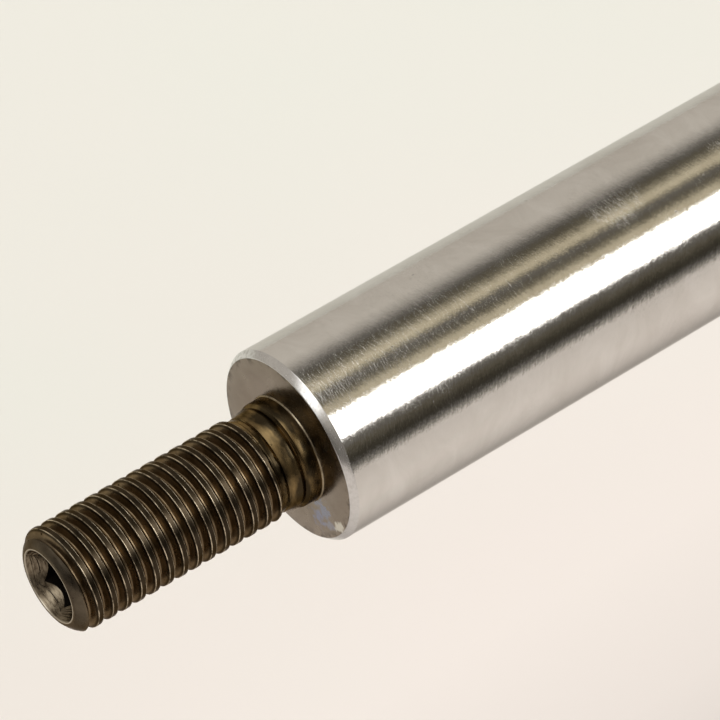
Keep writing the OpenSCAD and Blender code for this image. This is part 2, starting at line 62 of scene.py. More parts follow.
rod_lo, rod_hi = corners("thrust_rod")
stud_lo, stud_hi = corners("rod_end_stud")
screw_lo, screw_hi = corners("screw_shaft")
hub_x0 = corners("rod_adapter")[0].x
face_x = rod_lo.x
rod_r = (rod_hi.y - rod_lo.y) / 2
tip_x = stud_lo.x
nut_end_x = corners("ball_nut")[1].x


# ---- Mesh helpers ----

MERGE = 1e-7


def new_object(name, verts, faces, body, replaces=(), smooth_angle=35):
    """A mesh object that rides on a body, with its faces turned outwards and sharp edges kept sharp."""
    mesh = bpy.data.meshes.new(name)
    mesh.from_pydata([tuple(v) for v in verts], [], [tuple(f) for f in faces])
    mesh.validate()
    obj = bpy.data.objects.new(name, mesh)
    bpy.context.scene.collection.objects.link(obj)
    clean(obj, smooth_angle)
    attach(obj, body)
    if replaces:
        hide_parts(*replaces)
    return obj


def clean(obj, smooth_angle):
    """Merges doubled points, makes the normals agree and marks the sharp edges."""
    bm = bmesh.new()
    bm.from_mesh(obj.data)
    bmesh.ops.remove_doubles(bm, verts=bm.verts, dist=MERGE)
    bmesh.ops.dissolve_degenerate(bm, edges=bm.edges, dist=MERGE)
    bmesh.ops.recalc_face_normals(bm, faces=bm.faces)
    for face in bm.faces:
        face.smooth = True
    limit = math.radians(smooth_angle)
    for edge in bm.edges:
        edge.smooth = not (edge.is_manifold and edge.calc_face_angle(0) > limit)
    bm.to_mesh(obj.data)
    bm.free()


def lathe(profile, segments=192):
    """Points and faces of a closed profile of (x, radius) in metres, turned about the X axis."""
    n = len(profile)
    verts = [(x, r * math.cos(a), r * math.sin(a))
             for a in (2 * math.pi * i / segments for i in range(segments)) for x, r in profile]
    faces = [(i * n + j, i * n + (j + 1) % n, ((i + 1) % segments) * n + (j + 1) % n,
              ((i + 1) % segments) * n + j)
             for i in range(segments) for j in range(n)]
    return verts, faces


def rounded(profile, radius, steps=4):
    """The profile with each corner (x, r) given as (x, r, True) rounded to that radius."""
    out = []
    n = len(profile)
    for i, p in enumerate(profile):
        if len(p) < 3:
            out.append((p[0], p[1]))
            continue
        here = Vector(p[:2])
        before = (Vector(profile[i - 1][:2]) - here)
        after = (Vector(profile[(i + 1) % n][:2]) - here)
        reach = min(radius, before.length * 0.45, after.length * 0.45)
        a = here + before.normalized() * reach
        b = here + after.normalized() * reach
        for k in range(steps + 1):
            t = k / steps
            q = a * (1 - t) ** 2 + here * (2 * t * (1 - t)) + b * t ** 2
            out.append((q.x, q.y))
    return out


def screwed_columns(x0, x1, pitch, crest_x, crest_angle, radius, steps, angles):
    """Columns of points along X, one for each angle, whose places follow a right-hand helix.

    A crest passes crest_x at crest_angle. radius(x, s) gives the radius at x, where s is the
    distance from the nearest crest. Points beyond x0 or x1 fall together on the end circles."""
    first = math.floor((x0 - crest_x) / pitch) - 2
    last = math.ceil((x1 - crest_x) / pitch) + 2
    columns = []
    for turn in angles:
        helix = crest_x + pitch * (turn - crest_angle) / (2 * math.pi)
        column = []
        for n in range(first, last + 1):
            for s in steps:
                x = min(max(helix + n * pitch + s, x0), x1)
                near = (x - helix) - pitch * round((x - helix) / pitch)
                r = radius(x, near)
                column.append((x, r * math.cos(turn), r * math.sin(turn)))
        columns.append(column)
    return columns


def column_faces(columns, turned_by, start=0):
    """Faces between neighbouring columns; the last column meets the first one turned_by points on."""
    n = len(columns[0])
    count = len(columns)
    faces = []
    for i in range(count):
        shift = turned_by if i == count - 1 else 0
        j = (i + 1) % count
        for k in range(n - 1 - shift):
            a, b = start + i * n + k, start + i * n + k + 1
            c, d = start + j * n + k + 1 + shift, start + j * n + k + shift
            faces.append((a, b, c, d))
    return faces


def ring_columns(profile_at, angles):
    """Columns of points, one for each angle, from a function that gives the (x, radius) points there."""
    return [[(x, r * math.cos(a), r * math.sin(a)) for x, r in profile_at(a)] for a in angles]


def join_parts(parts):
    """One list of points and one of faces from several."""
    verts, faces = [], []
    for part_verts, part_faces in parts:
        base = len(verts)
        verts += part_verts
        faces += [tuple(base + i for i in f) for f in part_faces]
    return verts, faces


def flat(columns):
    """The points of all the columns in one list."""
    return [p for column in columns for p in column]


def smooth_floor(value, limit, blend):
    """The larger of two values, with the corner between them rounded."""
    h = max(blend - abs(value - limit), 0) / blend
    return max(value, limit) + h * h * blend / 4


def smooth_ceiling(value, limit, blend):
    """The smaller of two values, with the corner between them rounded."""
    return -smooth_floor(-value, -limit, blend)


def between(points, x):
    """Straight-line interpolation in a list of (x, value) points."""
    return float(np.interp(x, [p[0] for p in points], [p[1] for p in points]))


# ---- Rod ----

CHAMFER_DEEP = 0.60 * MM
CHAMFER_LONG = 0.74 * MM
ROD_BORE_R = 8.5 * MM
ROD_SPIGOT_R = 10 * MM
SPIGOT_CHAMFER = 0.5 * MM
STUD_HOLE_R = 5.95 * MM
STUD_HOLE_DEEP = 19 * MM
NOSE_LONG = 27 * MM
BORE_CONE_LONG = 2 * MM
ROD_CORNER = 0.08 * MM
ROD_SEGMENTS = 360


def make_rod():
    x0, x1 = face_x, rod_hi.x
    profile = rounded([
        (x0 + STUD_HOLE_DEEP, 0), (x0 + STUD_HOLE_DEEP, STUD_HOLE_R), (x0, STUD_HOLE_R, True),
        (x0, rod_r - CHAMFER_DEEP, True), (x0 + CHAMFER_LONG, rod_r, True), (hub_x0, rod_r),
        (hub_x0, ROD_SPIGOT_R), (x1 - SPIGOT_CHAMFER, ROD_SPIGOT_R, True),
        (x1, ROD_SPIGOT_R - SPIGOT_CHAMFER, True), (x1, ROD_BORE_R),
        (x0 + NOSE_LONG, ROD_BORE_R), (x0 + NOSE_LONG - BORE_CONE_LONG, 0)], ROD_CORNER, 3)
    verts, faces = lathe(profile, ROD_SEGMENTS)
    rod = new_object("ground_rod", verts, faces, "rod", ["thrust_rod"], 25)
    for m in (rod_chrome(), rod_chamfer(), rod_end_face(), plain_steel()):
        rod.data.materials.append(m)
    for face in rod.data.polygons:
        c = face.center
        r = math.hypot(c.y, c.z)
        at_end = c.x < x0 + CHAMFER_LONG + 0.02 * MM and r > STUD_HOLE_R
        if at_end and abs(face.normal.x) > 0.95:
            face.material_index = 2
        elif at_end:
            face.material_index = 1
        elif r < rod_r - 0.3 * MM:
            face.material_index = 3
    return rod


# ---- Stud ----

THREAD_PITCH = 1.75 * MM
CREST_FROM_FACE = 0.41 * MM
CREST_ANGLE = math.radians(36.6)
STUD_SEGMENTS = 180

# The thread's groove, in mm: its depth under the stud's widest radius, the rounding at its root, the
# steepness of its flanks, and how far from the rod's face it has faded out and over what length
THREAD_DEPTH = 1.06
THREAD_ROOT = 0.20
FLANK_SLOPE = 2.15
RUNOUT = 4.0
RUNOUT_LONG = 1.4

SOCKET_ACROSS = 6.0 * MM
SOCKET_DEEP = 8.0 * MM
SOCKET_PHASE = math.radians(-12.8)
SOCKET_POINT = 1.6 * MM
MOUTH_R = 4.09 * MM
RIM_R = 4.43 * MM
MOUTH_SLOPE = math.tan(math.radians(29))
MOUTH_STEPS = 40
RIDGE_HIGH = 0.012 * MM
STUD_INSIDE = 17.5 * MM
STUD_END_R = 4.8 * MM

# The crest as (distance from its middle, depth under the stud's widest radius), in mm. That radius is
# the collar's and the blank is 0.15 mm smaller, so every depth under 0.15 comes out flat
CREST = [(-0.42, 0.400), (-0.38, 0.300), (-0.34, 0.225), (-0.31, 0.172), (-0.285, 0.138),
         (-0.26, 0.156), (-0.18, 0.074), (-0.09, 0.018), (0, 0), (0.09, 0.018), (0.18, 0.074),
         (0.24, 0.155), (0.27, 0.138), (0.30, 0.174), (0.34, 0.240), (0.38, 0.320), (0.41, 0.395)]
# The distances at which the flanks and the root get points, in mm
FLANK = [-0.84, -0.80, -0.76, -0.72, -0.66, -0.58, -0.50,
         0.50, 0.58, 0.66, 0.72, 0.76, 0.80, 0.84, 0.875]

# Radius of the neck and of the blank under the thread, by distance from the rod's face, in mm
NECK = [(0, 5.90), (0.01, 6.15), (0.07, 6.12), (0.16, 6.0), (1.50, 6.0), (1.64, 5.96),
        (1.76, 5.72), (1.86, 5.60), (1.98, 5.60), (2.10, 5.68), (2.20, 5.74), (2.40, 5.74),
        (2.60, 5.71), (3.70, 5.50), (3.84, 5.46), (3.92, 5.27), (4.00, 5.22)]
BLANK = [(4.00, 5.22), (4.06, 5.40), (4.50, 5.46), (4.85, 5.54), (5.05, 5.85)]
# The same from the tip
TIP = [(0, 4.43), (0.10, 4.63), (0.45, 5.08), (0.72, 5.36), (1.10, 5.66), (1.40, 5.82), (1.60, 5.85)]


def stud_radius(x, s):
    """The stud's radius at x, where the nearest thread crest is s away."""
    from_face = (face_x - x) / MM
    from_tip = (x - tip_x) / MM
    widest = (stud_hi.y - stud_lo.y) / 2
    off = s / MM
    depth = between(CREST, off)
    beyond = max(CREST[0][0] - off, off - CREST[-1][0], 0)
    depth += beyond * FLANK_SLOPE
    fade = min(max((from_face - RUNOUT) / RUNOUT_LONG, 0), 1)
    depth = smooth_ceiling(depth, THREAD_DEPTH * fade, THREAD_ROOT)
    blank = min(between(BLANK, from_face), between(TIP, from_tip)) * MM
    return min(widest - max(depth, 0) * MM, blank)


def make_stud():
    angles = [SOCKET_PHASE + math.radians(30) + 2 * math.pi * i / STUD_SEGMENTS
              for i in range(STUD_SEGMENTS)]
    steps = sorted(s * MM for s in [p[0] for p in CREST] + FLANK)
    crest_x = face_x - CREST_FROM_FACE
    thread = screwed_columns(tip_x, face_x - RUNOUT * MM, THREAD_PITCH, crest_x, CREST_ANGLE,
                             stud_radius, steps, angles)

    def neck(_angle):
        end = face_x + STUD_INSIDE
        outside = [(face_x - z * MM, r * MM) for z, r in reversed(NECK)]
        return outside + [(end - MM, STUD_END_R + MM), (end, STUD_END_R), (end, 0)]

    def socket(angle):
        side = (angle - SOCKET_PHASE) % math.radians(60)
        side = min(side, math.radians(60) - side)
        wall = SOCKET_ACROSS / 2 / math.cos(side)
        meet = (MOUTH_R - wall) / MOUTH_SLOPE
        points = [(tip_x, RIM_R), (tip_x, MOUTH_R + 0.03 * MM)]
        for k in range(MOUTH_STEPS + 1):
            t = k / MOUTH_STEPS
            ridge = RIDGE_HIGH * (math.sin(t * 63) + math.sin(t * 41 + 1)) * min(4 * t, 4 - 4 * t, 1)
            points.append((tip_x + meet * t, MOUTH_R + (wall - MOUTH_R) * t + ridge))
        points += [(tip_x + SOCKET_DEEP, wall), (tip_x + SOCKET_DEEP, SOCKET_ACROSS / 2 * 0.96),
                   (tip_x + SOCKET_DEEP + SOCKET_POINT, 0)]
        return points

    parts = [(flat(thread), column_faces(thread, len(steps)))]
    for shape in (neck, socket):
        columns = ring_columns(shape, angles)
        parts.append((flat(columns), column_faces(columns, 0)))
    verts, faces = join_parts(parts)
    stud = new_object("threaded_stud", verts, faces, "rod", ["rod_end_stud"], 40)
    stud.data.materials.append(bronzed_thread())
    stud.data.materials.append(socket_wall())
    for face in stud.data.polygons:
        c = face.center
        if tip_x + MM < c.x < tip_x + 12 * MM and math.hypot(c.y, c.z) < 3.5 * MM:
            if abs(face.normal.x) < 0.2 or c.x > tip_x + 0.9 * SOCKET_DEEP:
                face.material_index = 1
    return stud


# ---- Ball screw ----

LEAD = 10 * MM
GROOVE_FROM_NUT_END = 33.5 * MM
GROOVE_ANGLE = math.pi
BALL_PATH_R = 8.05 * MM
GROOVE_R = 1.75 * MM
SCREW_R = 7.75 * MM
SHOULDER_X = -17 * MM
FRONT_JOURNAL = 13 * MM
GUIDE_R = 5 * MM
JOURNAL_R = 6 * MM
LOCK_THREAD = (19.0 * MM, 29.5 * MM)
DRIVE_R = 5 * MM
GROOVE_STEPS = 8
SCREW_SEGMENTS = 96


def screw_radius(_x, s):
    """The screw's radius where the middle of the nearest land is s away."""
    along_groove = abs(abs(s) - LEAD / 2) * math.cos(math.atan(LEAD / (2 * math.pi * BALL_PATH_R)))
    if along_groove >= GROOVE_R:
        return SCREW_R
    groove = BALL_PATH_R - math.sqrt(GROOVE_R ** 2 - along_groove ** 2)
    return smooth_ceiling(groove, SCREW_R, 0.12 * MM)


def make_screw():
    angles = [2 * math.pi * i / SCREW_SEGMENTS for i in range(SCREW_SEGMENTS)]
    x0 = screw_lo.x + FRONT_JOURNAL
    groove_x = nut_end_x - GROOVE_FROM_NUT_END
    half = LEAD / 2
    fine = [k * GROOVE_R * 1.06 / GROOVE_STEPS for k in range(GROOVE_STEPS + 1)]
    on_land = {-1.2 * MM, 0.0, 1.2 * MM}
    steps = sorted({round(q, 9) for k in fine for q in (half - k, -half + k)} | on_land)
    steps = [s for s in steps if s > -half]
    thread = screwed_columns(x0, SHOULDER_X, LEAD, groove_x + half, GROOVE_ANGLE, screw_radius,
                             steps, angles)

    def end_cap(x, r):
        return [[(x, column[k][1], column[k][2]), (x, r * math.cos(a), r * math.sin(a))]
                for column, a, k in ((c, a, 0 if x == x0 else -1) for c, a in zip(thread, angles))]

    front = screw_lo.x
    slot = front + 1.4 * MM
    slot_end = front + 2.5 * MM
    slot_r = GUIDE_R - 0.3 * MM
    nose = rounded([
        (front, 0), (front, GUIDE_R - 0.5 * MM, True), (front + 0.5 * MM, GUIDE_R, True),
        (slot, GUIDE_R, True), (slot, slot_r), (slot_end, slot_r), (slot_end, GUIDE_R, True),
        (x0, GUIDE_R)], 0.06 * MM, 2)
    start, end = LOCK_THREAD
    back = [(SHOULDER_X, JOURNAL_R), (start, JOURNAL_R)]
    for k in range(int((end - start) / MM)):
        x = start + k * MM
        back += [(x + 0.12 * MM, JOURNAL_R), (x + 0.5 * MM, JOURNAL_R - 0.5 * MM),
                 (x + 0.88 * MM, JOURNAL_R)]
    back += [(end - 0.6 * MM, JOURNAL_R - 0.05 * MM), (end, 5.3 * MM), (end, DRIVE_R),
             (screw_hi.x - 0.6 * MM, DRIVE_R), (screw_hi.x, DRIVE_R - 0.6 * MM),
             (screw_hi.x, 1.8 * MM), (screw_hi.x - 2.25 * MM, 0)]
    parts = [(flat(thread), column_faces(thread, len(steps)))]
    for columns in (ring_columns(lambda _a: nose, angles), ring_columns(lambda _a: back, angles),
                    end_cap(x0, GUIDE_R), end_cap(SHOULDER_X, JOURNAL_R)):
        parts.append((flat(columns), column_faces(columns, 0)))
    verts, faces = join_parts(parts)
    screw = new_object("rolled_screw", verts, faces, "screw", ["screw_shaft"], 30)
    screw.data.materials.append(ground_screw())
    return screw


# ---- Return tube ----

TUBE_R = 2.4 * MM
TUBE_BORE = 1.85 * MM
TUBE_BEND = 5 * MM
TUBE_Z = 15.7 * MM
TUBE_START = 5.9 * MM
TUBE_SIDES = 48
BEND_STEPS = 16
CIRCUIT_TURNS = 2.5


def make_tube():
    lean = math.atan(LEAD / (2 * math.pi * BALL_PATH_R))
    x0 = nut_end_x - GROOVE_FROM_NUT_END
    legs = []
    for x, y, side in ((x0, -BALL_PATH_R, -1), (x0 + CIRCUIT_TURNS * LEAD, BALL_PATH_R, 1)):
        up = Vector((side * math.sin(lean), 0, math.cos(lean)))
        legs.append((Vector((x, y, 0)), up))
    tops = [p + up * (TUBE_Z / math.cos(lean)) for p, up in legs]
    path = [legs[0][0] + legs[0][1] * TUBE_START]
    for i in (0, 1):
        away = (legs[i][0] - tops[i]).normalized()
        along = (tops[1 - i] - tops[i]).normalized()
        half = away.angle(along) / 2
        mid = tops[i] + (away + along).normalized() * (TUBE_BEND / math.sin(half))
        a = tops[i] + away * (TUBE_BEND / math.tan(half)) - mid
        b = tops[i] + along * (TUBE_BEND / math.tan(half)) - mid
        sweep = a.angle(b)
        bend = [mid + (a * math.sin(sweep * (1 - t)) + b * math.sin(sweep * t)) / math.sin(sweep)
                for t in (k / BEND_STEPS for k in range(BEND_STEPS + 1))]
        path += bend if i == 0 else bend[::-1]
    path.append(legs[1][0] + legs[1][1] * TUBE_START)
    rings = []
    side = Vector((0.3, 1, 0.2))
    for i, p in enumerate(path):
        ahead = (path[min(i + 1, len(path) - 1)] - path[max(i - 1, 0)]).normalized()
        side = (side - ahead * side.dot(ahead)).normalized()
        rings.append((p, side.copy(), ahead.cross(side)))
    columns = []
    for k in range(TUBE_SIDES):
        a = 2 * math.pi * k / TUBE_SIDES
        outer = [p + TUBE_R * (n * math.cos(a) + m * math.sin(a)) for p, n, m in rings]
        inner = [p + TUBE_BORE * (n * math.cos(a) + m * math.sin(a)) for p, n, m in rings]
        columns.append(outer + inner[::-1] + [outer[0]])
    tube = new_object("ball_return_tube", flat(columns), column_faces(columns, 0), "rod",
                      ["return_tube"], 30)
    tube.data.materials.append(tube_steel())
    return tube


# ---- Materials ----

# Rings of a turned face, for each metre of radius
TURNING = 7000


class Graph:
    """Adds shader nodes to one node tree and links them."""

    def __init__(self, tree):
        self.tree = tree

    def add(self, kind, **settings):
        node = self.tree.nodes.new(kind)
        for key, value in settings.items():
            setattr(node, key, value)
        return node

    def link(self, value, socket):
        if hasattr(value, "is_output"):
            self.tree.links.new(value, socket)
        else:
            socket.default_value = value

    def math(self, operation, a, b=0.0):
        node = self.add("ShaderNodeMath", operation=operation)
        self.link(a, node.inputs[0])
        self.link(b, node.inputs[1])
        return node.outputs[0]

    def times(self, a, b):
        return self.math("MULTIPLY", a, b)

    def minus(self, a, b):
        return self.math("SUBTRACT", a, b)

    def plus(self, a, b):
        return self.math("ADD", a, b)

    def span(self, value, low, high, to_low=0.0, to_high=1.0):
        """value from low to high, mapped to to_low to to_high and held there beyond them."""
        node = self.add("ShaderNodeMapRange")
        for socket, number in zip(node.inputs[:5], (value, low, high, to_low, to_high)):
            self.link(number, socket)
        return node.outputs[0]

    def mix(self, factor, a, b):
        node = self.add("ShaderNodeMix", data_type="RGBA")
        self.link(factor, node.inputs[0])
        self.link(a if hasattr(a, "is_output") else (*a, 1), node.inputs[6])
        self.link(b if hasattr(b, "is_output") else (*b, 1), node.inputs[7])
        return node.outputs[2]

    def ramp(self, value, low, high, colors):
        """The colour at value, between the (place, colour) pairs, whose places run from low to high."""
        node = self.add("ShaderNodeValToRGB")
        self.link(self.span(value, low, high), node.inputs[0])
        stops = node.color_ramp.elements
        while len(stops) > 1:
            stops.remove(stops[-1])
        for i, (place, color) in enumerate(colors):
            at = (place - low) / (high - low)
            stop = stops[0] if i == 0 else stops.new(at)
            stop.position = at
            stop.color = (*color, 1)
        return node.outputs[0]


class Surface(Graph):
    """The nodes of one material, worked out from the object's own coordinates in metres."""

    def __init__(self, name):
        self.mat = bpy.data.materials.new(name)
        self.mat.use_nodes = True
        super().__init__(self.mat.node_tree)
        self.shader = self.tree.nodes["Principled BSDF"]
        self.place = self.add("ShaderNodeTexCoord").outputs["Object"]

    def stretched(self, x, y, z):
        """The object's coordinates, times one number for each axis."""
        node = self.add("ShaderNodeVectorMath", operation="MULTIPLY")
        self.link(self.place, node.inputs[0])
        node.inputs[1].default_value = (x, y, z)
        return node.outputs[0]

    def noise(self, vector, detail=4.0, rough=0.5, bend=0.0):
        node = self.add("ShaderNodeTexNoise")
        self.link(vector, node.inputs["Vector"])
        node.inputs["Scale"].default_value = 1
        node.inputs["Detail"].default_value = detail
        node.inputs["Roughness"].default_value = rough
        node.inputs["Distortion"].default_value = bend
        return node.outputs[0]

    def grain(self, along, across, *shape):
        """Noise with its own fineness along the X axis and across it."""
        return self.noise(self.stretched(along, across, across), *shape)

    def axes(self):
        node = self.add("ShaderNodeSeparateXYZ")
        self.link(self.place, node.inputs[0])
        return node.outputs

    def distance(self, a, b):
        """The length of the vector (a, b)."""
        return self.math("SQRT", self.plus(self.times(a, a), self.times(b, b)))

    def radius(self):
        """Distance from the X axis."""
        _x, y, z = self.axes()
        return self.distance(y, z)

    def near(self, y, z, reach, soft):
        """1 close to the point (y, z) in the YZ plane, falling to 0 between reach and reach + soft."""
        _x, py, pz = self.axes()
        away = self.distance(self.minus(py, y), self.minus(pz, z))
        away = self.plus(away, self.span(self.grain(1400, 1400, 3), 0.3, 0.7, -soft, soft))
        return self.span(away, reach, reach + soft, 1, 0)

    def bump(self, height, depth, onto=None):
        """A bump whose height runs over depth metres."""
        node = self.add("ShaderNodeBump")
        node.inputs["Strength"].default_value = 1
        node.inputs["Distance"].default_value = depth
        self.link(height, node.inputs["Height"])
        if onto is not None:
            self.link(onto, node.inputs["Normal"])
        return node.outputs[0]

    def finish(self, color, rough, metallic=1.0, normal=None, **others):
        self.link(color if hasattr(color, "is_output") else (*color, 1),
                  self.shader.inputs["Base Color"])
        self.link(rough, self.shader.inputs["Roughness"])
        self.shader.inputs["Metallic"].default_value = metallic
        if normal is not None:
            self.link(normal, self.shader.inputs["Normal"])
        for name, value in others.items():
            self.shader.inputs[name.replace("_", " ")].default_value = value
        return self.mat


@cache
def rod_chrome():
    """Polished chrome with fine cross grain, slow waves, a few hairlines and rare pits."""
    m = Surface("rod_chrome")
    needles = m.grain(5200, 1500, 4, 0.62)
    waves = m.grain(900, 260, 3, 0.55, 0.4)
    pits = m.grain(1300, 1300, 2, 0.4)
    pit = m.span(pits, 0.775, 0.80)
    hairs = m.noise(m.stretched(2600, 260, 900), 2, 0.5, 2.5)
    hair = m.minus(1, m.span(m.math("ABSOLUTE", m.minus(hairs, 0.5)), 0, 0.012))
    patch = m.span(m.grain(90, 90, 3, 0.5), 0.50, 0.62)
    hair = m.times(hair, patch)
    normal = m.bump(needles, 1.8e-5)
    normal = m.bump(waves, 2.8e-5, normal)
    normal = m.bump(m.times(hair, -1), 2.5e-6, normal)
    normal = m.bump(m.times(pit, -1), 1.0e-5, normal)
    smear = m.grain(240, 130, 5, 0.62, 0.8)
    color = m.mix(m.span(smear, 0.32, 0.68), (0.585, 0.565, 0.535), (0.665, 0.65, 0.625))
    color = m.mix(m.times(hair, 0.35), color, (0.30, 0.28, 0.25))
    color = m.mix(m.times(pit, 0.8), color, (0.14, 0.12, 0.10))
    rough = m.span(smear, 0.3, 0.75, 0.04, 0.10)
    return m.finish(color, rough, normal=normal, Specular_Tint=(0.76, 0.75, 0.74, 1))


@cache
def rod_chamfer():
    m = Surface("rod_chamfer")
    lay = m.grain(9000, 700, 4, 0.6)
    speck = m.grain(2600, 2600, 3, 0.6)
    _x, y, z = m.axes()
    rough_side = m.span(m.minus(y, m.times(z, 0.8)), -2 * MM, 6 * MM)
    mark = m.times(m.span(speck, 0.48, 0.60), m.plus(rough_side, 0.15))
    normal = m.bump(speck, 4e-6, m.bump(lay, 3e-6))
    color = m.mix(mark, (0.62, 0.61, 0.60), (0.30, 0.28, 0.24))
    return m.finish(color, m.span(speck, 0.3, 0.7, 0.16, 0.28), normal=normal)


@cache
def rod_end_face():
    m = Surface("rod_end_face")
    r = m.radius()
    rings = m.noise(m.times(r, TURNING), 3, 0.6)
    cloud = m.grain(300, 300, 4, 0.6, 0.5)
    color = m.mix(m.span(cloud, 0.3, 0.7), (0.165, 0.130, 0.094), (0.235, 0.195, 0.150))
    rim_noise = m.grain(900, 900, 3, 0.6)
    rim = m.times(m.span(r, 9.5 * MM, 10.35 * MM), m.span(rim_noise, 0.50, 0.60))
    color = m.mix(rim, color, (0.075, 0.055, 0.035))
    for y, z, reach, soft, tint in BLUE_STAINS:
        color = m.mix(m.near(y * MM, z * MM, reach * MM, soft * MM), color, tint)
    return m.finish(color, m.span(cloud, 0.3, 0.7, 0.20, 0.30), normal=m.bump(rings, 3e-6))


# Residue of thread-locking compound on the rod's face: y, z, reach and soft edge in mm, and tint
BLUE_STAINS = [
    (-5.9, -4.3, 0.55, 0.9, (0.20, 0.21, 0.26)),
    (-5.2, -6.1, 0.35, 0.8, (0.19, 0.20, 0.27)),
    (-7.2, -5.6, 0.25, 0.6, (0.22, 0.22, 0.25)),
    (-8.7, -4.6, 0.45, 0.5, (0.52, 0.50, 0.43)),
]


# The two light lines along each thread crest, as their distance from its middle
LINE_FROM_CREST = 0.285 * MM


@cache
def bronzed_thread():
    """Dark oxide with two light lines along each crest, a gold neck and bright edges at both ends."""
    m = Surface("bronzed_thread")
    r = m.radius()
    x, y, z = m.axes()
    grain = m.grain(3000, 1100, 4, 0.6)
    cloud = m.grain(420, 420, 4, 0.6)
    turn = m.math("DIVIDE", m.math("ARCTAN2", z, y), 2 * math.pi)
    turn = m.minus(turn, CREST_ANGLE / (2 * math.pi))
    along = m.math("DIVIDE", m.minus(x, face_x - CREST_FROM_FACE), THREAD_PITCH)
    phase = m.minus(along, turn)
    off = m.minus(m.math("FRACT", m.plus(phase, 0.5)), 0.5)
    off = m.math("ABSOLUTE", m.times(off, THREAD_PITCH))
    line = m.span(m.math("ABSOLUTE", m.minus(off, LINE_FROM_CREST)), 0.02 * MM, 0.055 * MM, 1, 0)
    line = m.times(line, m.span(r, 5.55 * MM, 5.63 * MM))
    line = m.times(line, m.span(x, face_x - 4.6 * MM, face_x - 5.2 * MM))
    wear = m.grain(900, 900, 4, 0.65)
    line = m.times(line, m.span(wear, 0.36, 0.60, 0.08, 1))
    # Painted shade and painted light: the crests get a darker colour against the bright light they
    # catch, and the flanks a lighter one against the shade between the turns
    crest = m.mix(m.span(cloud, 0.35, 0.65), (0.028, 0.021, 0.013), (0.050, 0.038, 0.025))
    flank = m.mix(m.span(cloud, 0.35, 0.65), (0.120, 0.086, 0.050), (0.200, 0.148, 0.090))
    color = m.mix(m.span(r, 5.48 * MM, 5.64 * MM), flank, crest)
    end = m.mix(m.span(cloud, 0.35, 0.65), (0.070, 0.056, 0.040), (0.110, 0.090, 0.064))
    color = m.mix(m.span(x, tip_x + 1.3 * MM, tip_x + 0.7 * MM), color, end)
    color = m.mix(line, color, (0.68, 0.58, 0.43))
    neck = m.span(x, face_x - 5.3 * MM, face_x - 4.7 * MM)
    glow = m.grain(650, 260, 3, 0.5)
    gold = m.mix(m.span(glow, 0.44, 0.70), (0.042, 0.031, 0.017), (0.280, 0.192, 0.086))
    color = m.mix(neck, color, gold)
    inside = m.span(r, 4.12 * MM, 4.20 * MM, 1, 0)
    tip = m.span(x, tip_x + 2.4 * MM, tip_x + 2.2 * MM)
    cup = m.mix(m.span(grain, 0.35, 0.65), (0.080, 0.062, 0.042), (0.250, 0.208, 0.150))
    color = m.mix(m.times(inside, tip), color, cup)
    edge = m.times(m.span(r, 4.26 * MM, 4.20 * MM), m.span(r, 4.02 * MM, 4.08 * MM))
    edge = m.times(edge, m.span(x, tip_x + 0.22 * MM, tip_x + 0.14 * MM))
    color = m.mix(edge, color, (0.44, 0.40, 0.33))
    bead = m.span(x, face_x - 0.26 * MM, face_x - 0.20 * MM)
    bead = m.times(bead, m.span(r, 6.02 * MM, 6.06 * MM))
    bead = m.times(bead, m.span(wear, 0.30, 0.62, 0.25, 1))
    color = m.mix(bead, color, (0.34, 0.29, 0.21))
    pits = m.grain(2000, 2000, 2, 0.5)
    pit = m.span(pits, 0.72, 0.76)
    color = m.mix(pit, color, (0.02, 0.014, 0.008))
    normal = m.bump(grain, 4e-6)
    normal = m.bump(m.grain(500, 500, 3, 0.5), 1.2e-5, normal)
    normal = m.bump(m.times(pit, -1), 2e-5, normal)
    rough = m.minus(m.span(grain, 0.3, 0.7, 0.24, 0.36), m.times(line, 0.10))
    rough = m.minus(rough, m.times(neck, 0.06))
    return m.finish(color, rough, normal=normal, Specular_Tint=(0.55, 0.50, 0.45, 1))


@cache
def socket_wall():
    return turned_metal("socket_wall", (0.006, 0.005, 0.004), (0.014, 0.011, 0.008), 0.5, 0.65)


def turned_metal(name, dark, light, rough_low, rough_high, lay_depth=3e-6, spots=0.0):
    """Machined metal with fine lay marks round the X axis and slow changes of tone."""
    m = Surface(name)
    lay = m.grain(7000, 500, 4, 0.6)
    rings = m.noise(m.times(m.radius(), TURNING), 3, 0.6)
    cloud = m.grain(120, 120, 5, 0.6, 0.4)
    fine = m.grain(1800, 1800, 3, 0.6)
    color = m.mix(m.span(cloud, 0.3, 0.7), dark, light)
    if spots:
        color = m.mix(m.times(m.span(fine, 0.60, 0.68), spots), color,
                      tuple(c * 0.4 for c in dark))
    normal = m.bump(rings, lay_depth, m.bump(lay, lay_depth))
    return m.finish(color, m.span(fine, 0.3, 0.7, rough_low, rough_high), normal=normal)


@cache
def ground_screw():
    m = Surface("ground_screw")
    r = m.radius()
    lay = m.grain(7000, 450, 4, 0.6)
    cloud = m.grain(150, 150, 4, 0.6)
    land = m.span(r, 7.45 * MM, 7.72 * MM)
    groove = m.mix(m.span(cloud, 0.3, 0.7), (0.42, 0.41, 0.39), (0.54, 0.53, 0.51))
    color = m.mix(land, groove, m.mix(m.span(cloud, 0.35, 0.65), (0.22, 0.21, 0.20), (0.34, 0.33, 0.31)))
    rough = m.span(land, 0, 1, 0.14, 0.30)
    return m.finish(color, rough, normal=m.bump(lay, 3e-6))


@cache
def plain_steel():
    return turned_metal("turned_steel", (0.36, 0.355, 0.34), (0.47, 0.46, 0.45), 0.22, 0.34, spots=0.3)


@cache
def bearing_steel():
    return turned_metal("bearing_steel", (0.58, 0.575, 0.56), (0.66, 0.655, 0.64), 0.07, 0.13, 1e-6)


